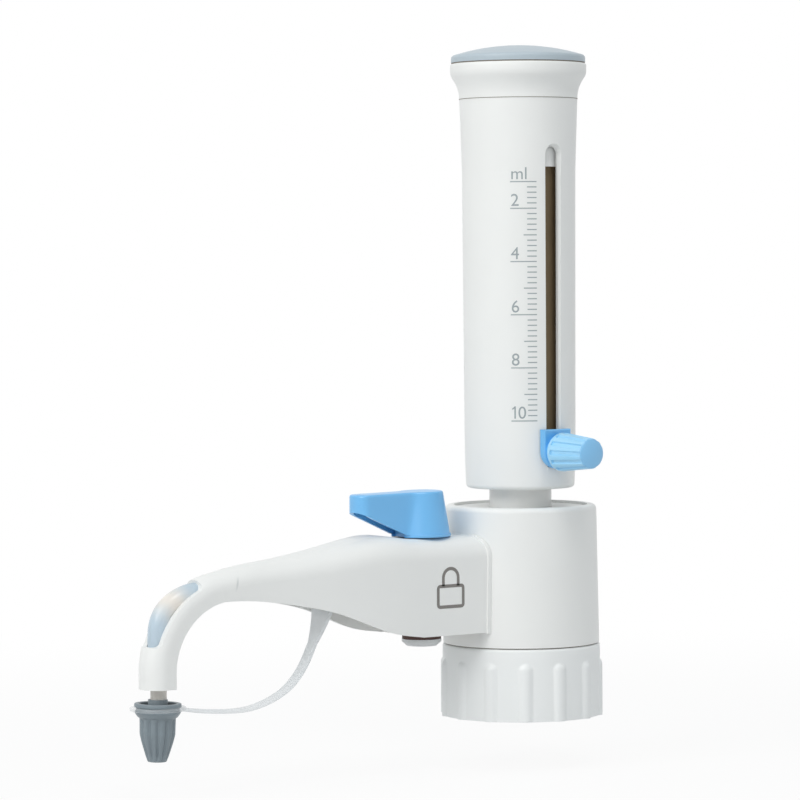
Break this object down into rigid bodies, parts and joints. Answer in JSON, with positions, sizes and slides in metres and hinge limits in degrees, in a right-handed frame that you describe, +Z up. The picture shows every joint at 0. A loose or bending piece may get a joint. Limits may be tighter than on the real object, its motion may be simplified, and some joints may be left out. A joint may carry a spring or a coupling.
{
  "type": "bottle-top dispenser",
  "caption": "Hand-operated piston dispenser for a laboratory bottle, with a slotted volume sleeve, threaded nut, recirculation lever, bent discharge arm and capped nozzle.",
  "frame": {"origin": "centre of the nut's mouth, on the axis of the bottle thread", "axes": "+Z up along the piston's axis, the discharge arm points along -X, the volume slot and its knob face -Y"},
  "size_m": [0.1811, 0.0671, 0.2301],
  "materials": {
    "white_body": "satin",
    "white_nut": "satin",
    "blue_plastic": "satin",
    "pale_blue_plastic": "satin",
    "grey_plastic": "satin",
    "block_plastic": "satin",
    "amber_tube": "clear",
    "glass": "clear",
    "white_piston": "smooth",
    "steel": "brushed",
    "dark_seal": "matte",
    "clear_seal": "matte",
    "tube_cream": "smooth",
    "sheath_blue": "clear",
    "ceramic": "polished"
  },
  "bodies": {
    "base": {"valve_block": "block_plastic", "retaining_ring": "block_plastic", "bottle_seal": "clear_seal", "filling_valve_body": "white_piston", "inlet_seal": "clear_seal", "filling_cage": "white_piston", "body_cover": "white_body", "cylinder_gasket": "clear_seal", "glass_cylinder": "glass", "cylinder_neck": "block_plastic", "guide_tube": "amber_tube", "stop_collar": "white_body", "arm_housing": "white_body", "discharge_block": "block_plastic", "outlet_seal": "clear_seal", "discharge_seat": "white_piston", "discharge_spring": "steel", "discharge_tube": "tube_cream", "tube_sheath": "sheath_blue", "tube_nut": "white_piston", "spout_bush": "white_piston", "housing_screw_front": "steel", "housing_screw_back": "steel", "strap_pin_front": "grey_plastic", "strap_pin_back": "grey_plastic"},
    "sleeve": {"outer_sleeve": "white_body", "sleeve_head": "white_body", "top_cap": "pale_blue_plastic", "piston_rod": "steel", "rod_nut": "steel", "piston_head": "white_piston", "piston_ring_low": "white_piston", "piston_ring_high": "white_piston"},
    "slider": {"slider_plate": "blue_plastic", "slider_stop": "white_piston"},
    "knob": {"clamp_knob": "blue_plastic", "knob_screw": "steel"},
    "nut": {"thread_nut": "white_nut"},
    "lever": {"purge_lever": "blue_plastic", "valve_plug": "white_piston", "valve_seal_ring": "dark_seal", "valve_retainer": "clear_seal"},
    "cap": {"nozzle_cap": "grey_plastic", "cap_strap": "grey_plastic"},
    "filling_valve_ball": {"filling_ball": "ceramic"},
    "discharge_valve_ball": {"discharge_ball": "ceramic"}
  },
  "joints": [
    {"name": "sleeve_lift", "type": "slide", "parent": "base", "child": "sleeve", "axis": [0, 0, 1], "range_m": [0, 0.0884]},
    {"name": "volume_slide", "type": "slide", "parent": "sleeve", "child": "slider", "axis": [0, 0, -1], "range_m": [-0.0796, 0]},
    {"name": "clamp_turn", "type": "hinge", "parent": "slider", "child": "knob", "pos_m": [0, -0.023, 0.0894], "axis": [0, -1, 0], "range_deg": [0, 180]},
    {"name": "nut_turn", "type": "hinge", "parent": "base", "child": "nut", "pos_m": [0, 0, 0], "axis": [0, 0, 1], "continuous": true},
    {"name": "lever_turn", "type": "hinge", "parent": "base", "child": "lever", "pos_m": [-0.0416, 0, 0.0621], "axis": [0, 0, 1], "range_deg": [0, 90]},
    {"name": "cap_pull", "type": "slide", "parent": "base", "child": "cap", "axis": [0, 0, -1], "range_m": [0, 0.012], "deforming": ["cap_strap"]},
    {"name": "filling_ball_lift", "type": "slide", "parent": "base", "child": "filling_valve_ball", "axis": [0, 0, 1], "range_m": [0, 0.001]},
    {"name": "discharge_ball_lift", "type": "slide", "parent": "base", "child": "discharge_valve_ball", "axis": [-1, 0, 0], "range_m": [0, 0.001], "stiffness_N_per_m": 30, "springref_m": -0.0005, "deforming": ["discharge_spring"]}
  ]
}
